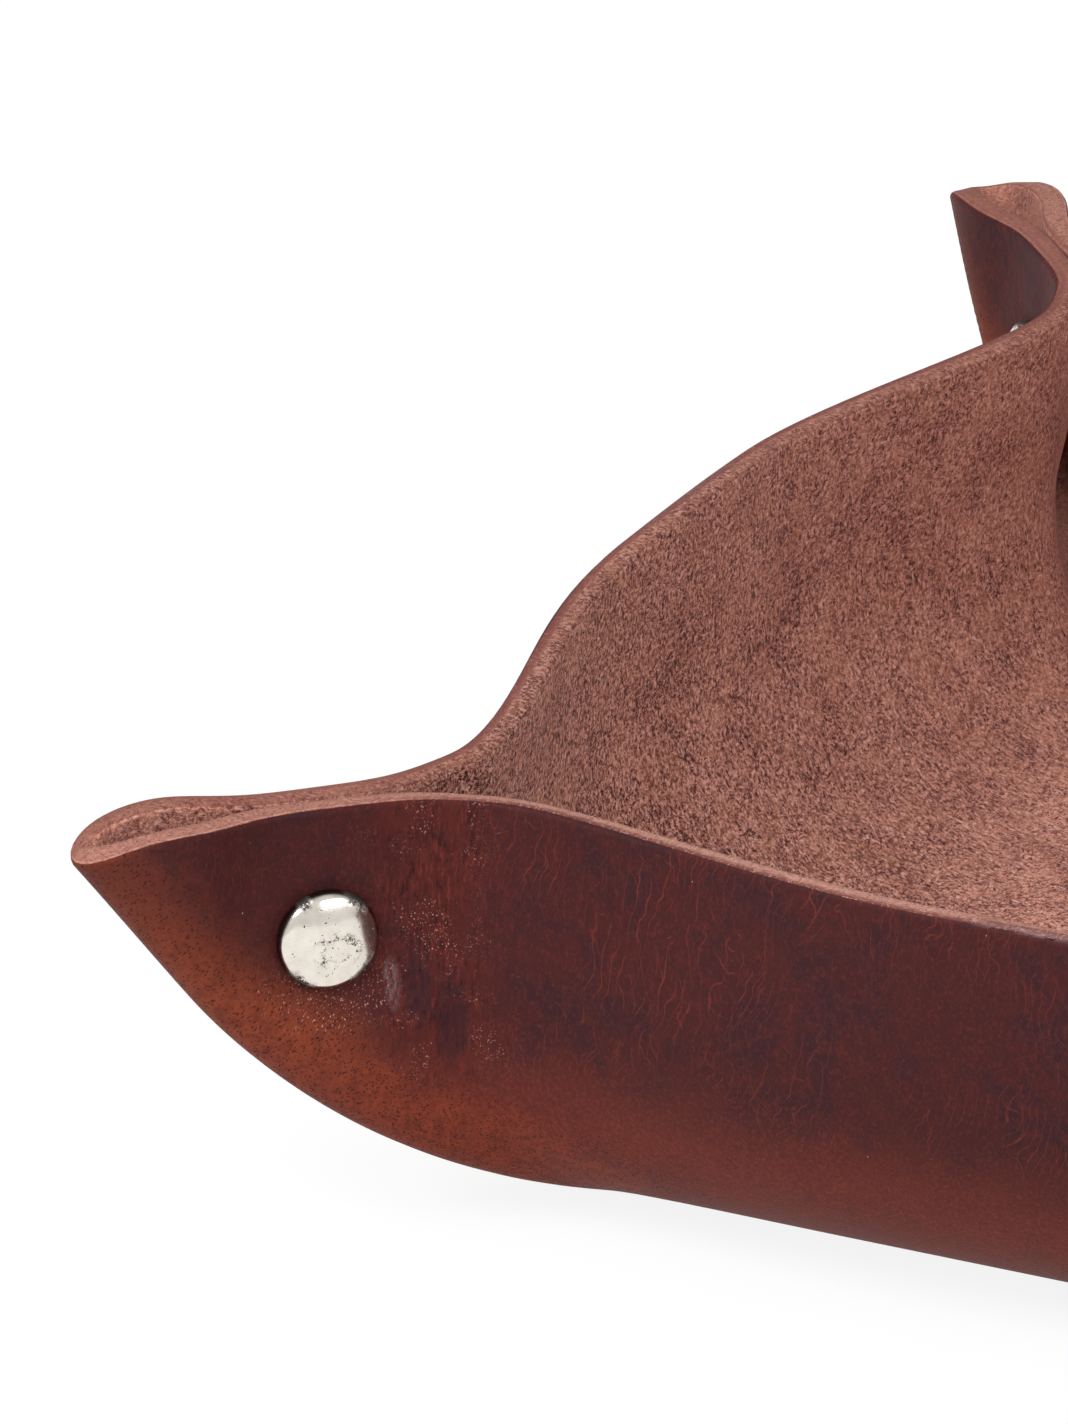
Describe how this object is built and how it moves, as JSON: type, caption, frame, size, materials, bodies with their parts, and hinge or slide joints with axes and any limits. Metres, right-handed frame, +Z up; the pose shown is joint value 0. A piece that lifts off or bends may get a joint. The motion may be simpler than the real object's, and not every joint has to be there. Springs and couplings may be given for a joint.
{
  "type": "valet tray",
  "caption": "Square leather valet tray folded from one sheet, its corners pinched outward into ears and held by domed double-cap rivets.",
  "frame": {"origin": "centre of the underside of the flat floor", "axes": "+Z up, front wall towards -Y, right wall towards +X"},
  "size_m": [0.1996, 0.1996, 0.046],
  "materials": {
    "hide": "waxed full-grain outside in dark maroon brown, raw pinkish brown suede inside, lighter cut edge",
    "nickel_cap": "warm nickel plate, smooth with fine scratches",
    "plated_steel": "thin nickel plate on drawn steel"
  },
  "bodies": {
    "root": {"leather_sheet": "hide", "front_left_cap": "nickel_cap", "front_left_socket": "plated_steel", "front_left_post": "plated_steel", "front_left_base_cap": "nickel_cap", "front_right_cap": "nickel_cap", "front_right_socket": "plated_steel", "front_right_post": "plated_steel", "front_right_base_cap": "nickel_cap", "back_left_cap": "nickel_cap", "back_left_socket": "plated_steel", "back_left_post": "plated_steel", "back_left_base_cap": "nickel_cap", "back_right_cap": "nickel_cap", "back_right_socket": "plated_steel", "back_right_post": "plated_steel", "back_right_base_cap": "nickel_cap"}
  },
  "joints": []
}
